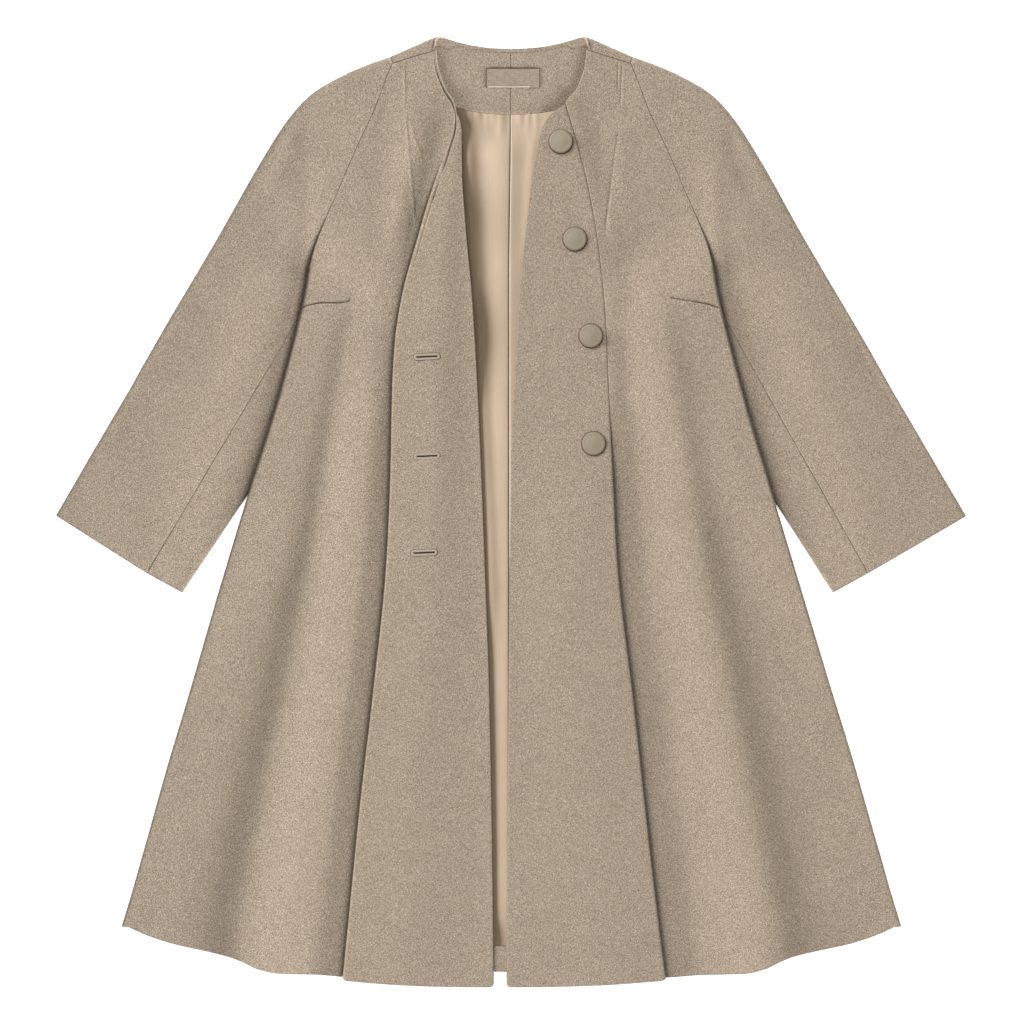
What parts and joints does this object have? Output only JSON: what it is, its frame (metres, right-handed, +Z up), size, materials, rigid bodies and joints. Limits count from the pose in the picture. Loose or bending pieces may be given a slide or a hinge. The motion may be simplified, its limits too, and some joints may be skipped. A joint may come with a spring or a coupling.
{
  "type": "swing coat",
  "caption": "Collarless wool swing coat laid flat with its front up: long centre panels set on pleats, raglan sleeves, single row of buttons and a flared skirt.",
  "frame": {"origin": "on the surface the coat lies on, under the middle of its box", "axes": "+Z up out of the surface, the way the coat's front faces; +Y from the hem to the neck; +X to the wearer's left"},
  "size_m": [0.953, 0.9988, 0.0211],
  "materials": {
    "wool": "melange taupe wool, brushed and dull",
    "satin": "beige satin lining with a soft sheen",
    "label_tape": "plain woven tape",
    "resin": "olive taupe, half matt"
  },
  "bodies": {
    "root": {"back_right": "wool", "back_left": "wool", "back_lining_right": "satin", "back_lining_left": "satin", "side_front_right": "wool", "side_front_left": "wool", "front_panel_right": "wool", "front_panel_left": "wool", "sleeve_upper_right": "wool", "sleeve_upper_left": "wool", "sleeve_under_right": "wool", "sleeve_under_left": "wool", "back_neck_facing": "wool", "back_neck_label": "label_tape", "back_hem_turn_up": "wool", "button_1": "resin", "button_2": "resin", "button_3": "resin", "button_4": "resin"}
  },
  "joints": []
}
